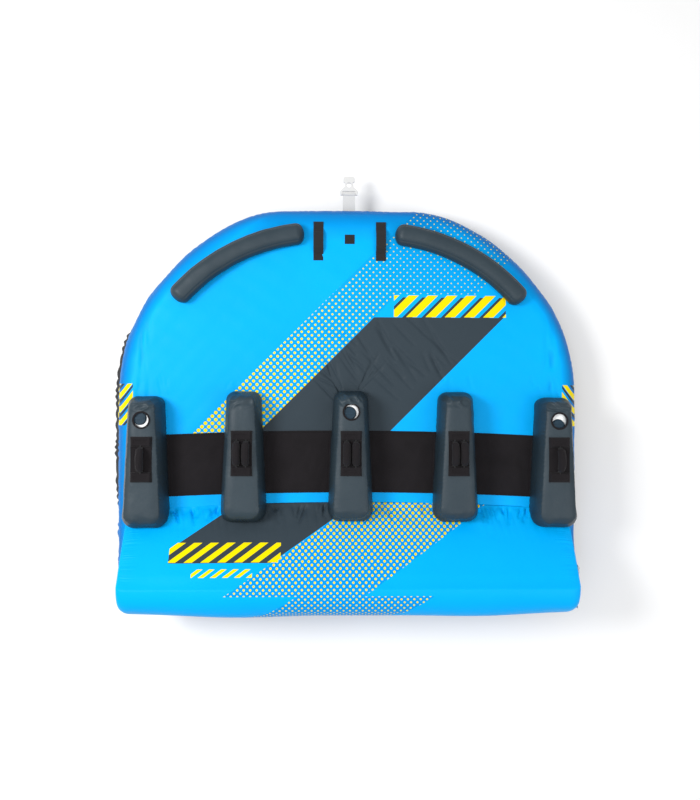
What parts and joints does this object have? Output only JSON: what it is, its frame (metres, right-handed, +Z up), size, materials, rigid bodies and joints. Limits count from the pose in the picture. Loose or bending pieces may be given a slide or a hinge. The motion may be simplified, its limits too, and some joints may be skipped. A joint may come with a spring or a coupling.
{
  "type": "towable tube",
  "caption": "D-shaped inflatable deck with a reclined backrest, arm bolsters carrying grab handles, foot bolsters and a quick-connect tow point.",
  "frame": {"origin": "centre of the bounding box's footprint, on the surface the tube rests on", "axes": "+Z up, +Y towards the tow end, +X to the right across the seats"},
  "size_m": [2.354, 2.222, 0.555],
  "materials": {
    "printed_nylon": "satin",
    "black_nylon": "satin",
    "dark_nylon": "satin",
    "vinyl": "gloss",
    "foam": "matt",
    "grip_foam": "matt",
    "neoprene": "matt",
    "webbing": "matt",
    "tow_webbing": "matt",
    "connector": "satin",
    "valve_base": "satin",
    "valve_cap": "satin",
    "zipper_tape": "matt",
    "zipper_metal": "satin"
  },
  "bodies": {
    "tube": {"arm_bladder_1": "vinyl", "arm_bladder_2": "vinyl", "arm_bladder_3": "vinyl", "arm_bladder_4": "vinyl", "arm_bladder_5": "vinyl", "arm_cover_1": "dark_nylon", "arm_cover_2": "dark_nylon", "arm_cover_3": "dark_nylon", "arm_cover_4": "dark_nylon", "arm_cover_5": "dark_nylon", "backrest_bladder": "vinyl", "backrest_cover": "printed_nylon", "backrest_zipper": "zipper_tape", "deck_bladder": "vinyl", "deck_bottom_cover": "black_nylon", "deck_top_cover": "printed_nylon", "deck_zipper": "zipper_tape", "foot_bolster_core_left": "foam", "foot_bolster_core_right": "foam", "foot_bolster_cover_left": "dark_nylon", "foot_bolster_cover_right": "dark_nylon", "front_patch": "neoprene", "grab_strap_left": "webbing", "grab_strap_right": "webbing", "handle_guards": "neoprene", "handle_sleeves": "neoprene", "seat_pads": "neoprene", "tow_base": "webbing", "valve_base_arm_1": "valve_base", "valve_base_arm_3": "valve_base", "valve_base_arm_5": "valve_base", "valve_base_backrest": "valve_base", "valve_base_deck": "valve_base", "valve_hole_bindings": "webbing"},
    "handle_1": {"handle_strap_1": "webbing", "handle_grip_1": "grip_foam"},
    "handle_2": {"handle_strap_2": "webbing", "handle_grip_2": "grip_foam"},
    "handle_3": {"handle_strap_3": "webbing", "handle_grip_3": "grip_foam"},
    "handle_4": {"handle_strap_4": "webbing", "handle_grip_4": "grip_foam"},
    "handle_5": {"handle_strap_5": "webbing", "handle_grip_5": "grip_foam"},
    "handle_6": {"handle_strap_6": "webbing", "handle_grip_6": "grip_foam"},
    "handle_7": {"handle_strap_7": "webbing", "handle_grip_7": "grip_foam"},
    "handle_8": {"handle_strap_8": "webbing", "handle_grip_8": "grip_foam"},
    "cap_arm_1": {"valve_cap_arm_1": "valve_cap"},
    "cap_arm_3": {"valve_cap_arm_3": "valve_cap"},
    "cap_arm_5": {"valve_cap_arm_5": "valve_cap"},
    "cap_backrest": {"valve_cap_backrest": "valve_cap"},
    "cap_deck": {"valve_cap_deck": "valve_cap"},
    "backrest_slider": {"backrest_zipper_slider": "zipper_metal"},
    "backrest_pull": {"backrest_zipper_pull": "zipper_metal"},
    "deck_slider": {"deck_zipper_slider": "zipper_metal"},
    "tow_strap": {"tow_strap": "tow_webbing"},
    "tow_connector": {"tow_connector": "connector"}
  },
  "joints": [
    {"name": "handle_swing_1", "type": "hinge", "parent": "tube", "child": "handle_1", "pos_m": [-1.008, -0.35, 0.473], "axis": [0, 1, 0], "range_deg": [-40, 40], "stiffness_Nm_per_rad": 0.06},
    {"name": "handle_swing_2", "type": "hinge", "parent": "tube", "child": "handle_2", "pos_m": [-0.5485, -0.32, 0.473], "axis": [0, 1, 0], "range_deg": [-40, 5], "stiffness_Nm_per_rad": 0.06},
    {"name": "handle_swing_3", "type": "hinge", "parent": "tube", "child": "handle_3", "pos_m": [-0.5035, -0.32, 0.473], "axis": [0, 1, 0], "range_deg": [-5, 40], "stiffness_Nm_per_rad": 0.06},
    {"name": "handle_swing_4", "type": "hinge", "parent": "tube", "child": "handle_4", "pos_m": [-0.0165, -0.32, 0.473], "axis": [0, 1, 0], "range_deg": [-40, 5], "stiffness_Nm_per_rad": 0.06},
    {"name": "handle_swing_5", "type": "hinge", "parent": "tube", "child": "handle_5", "pos_m": [0.0285, -0.32, 0.473], "axis": [0, 1, 0], "range_deg": [-5, 40], "stiffness_Nm_per_rad": 0.06},
    {"name": "handle_swing_6", "type": "hinge", "parent": "tube", "child": "handle_6", "pos_m": [0.5095, -0.32, 0.473], "axis": [0, 1, 0], "range_deg": [-40, 5], "stiffness_Nm_per_rad": 0.06},
    {"name": "handle_swing_7", "type": "hinge", "parent": "tube", "child": "handle_7", "pos_m": [0.5545, -0.32, 0.473], "axis": [0, 1, 0], "range_deg": [-5, 40], "stiffness_Nm_per_rad": 0.06},
    {"name": "handle_swing_8", "type": "hinge", "parent": "tube", "child": "handle_8", "pos_m": [1.026, -0.35, 0.473], "axis": [0, 1, 0], "range_deg": [-40, 40], "stiffness_Nm_per_rad": 0.06},
    {"name": "cap_turn_arm_1", "type": "hinge", "parent": "tube", "child": "cap_arm_1", "pos_m": [-1.018, -0.151, 0.443], "axis": [0, 0, 1], "range_deg": [0, 360]},
    {"name": "cap_turn_arm_3", "type": "hinge", "parent": "tube", "child": "cap_arm_3", "pos_m": [-0.003, -0.125, 0.443], "axis": [0, 0, 1], "range_deg": [0, 360]},
    {"name": "cap_turn_arm_5", "type": "hinge", "parent": "tube", "child": "cap_arm_5", "pos_m": [1.022, -0.184, 0.443], "axis": [0, 0, 1], "range_deg": [0, 360]},
    {"name": "cap_turn_backrest", "type": "hinge", "parent": "tube", "child": "cap_backrest", "pos_m": [1.112, -0.85, 0.376], "axis": [1, 0, 0], "range_deg": [0, 360]},
    {"name": "cap_turn_deck", "type": "hinge", "parent": "tube", "child": "cap_deck", "pos_m": [-0.93, -1.076, 0.146], "axis": [0, -1, 0], "range_deg": [0, 360]},
    {"name": "backrest_zipper_run", "type": "slide", "parent": "tube", "child": "backrest_slider", "axis": [0, -1, 0], "range_m": [0, 0.178]},
    {"name": "backrest_pull_lift", "type": "hinge", "parent": "backrest_slider", "child": "backrest_pull", "pos_m": [1.1265, -0.881, 0.447], "axis": [0, 0, 1], "range_deg": [0, 150]},
    {"name": "deck_zipper_run", "type": "slide", "parent": "tube", "child": "deck_slider", "axis": [1, 0, 0], "range_m": [0, 1.568]},
    {"name": "tow_strap_swing", "type": "hinge", "parent": "tube", "child": "tow_strap", "pos_m": [0, 0.927, 0.15], "axis": [1, 0, 0], "range_deg": [-25, 25], "stiffness_Nm_per_rad": 2, "springref_deg": 4.01},
    {"name": "tow_connector_swing", "type": "hinge", "parent": "tow_strap", "child": "tow_connector", "pos_m": [0, 1.02, 0.15], "axis": [1, 0, 0], "range_deg": [-60, 60]}
  ]
}
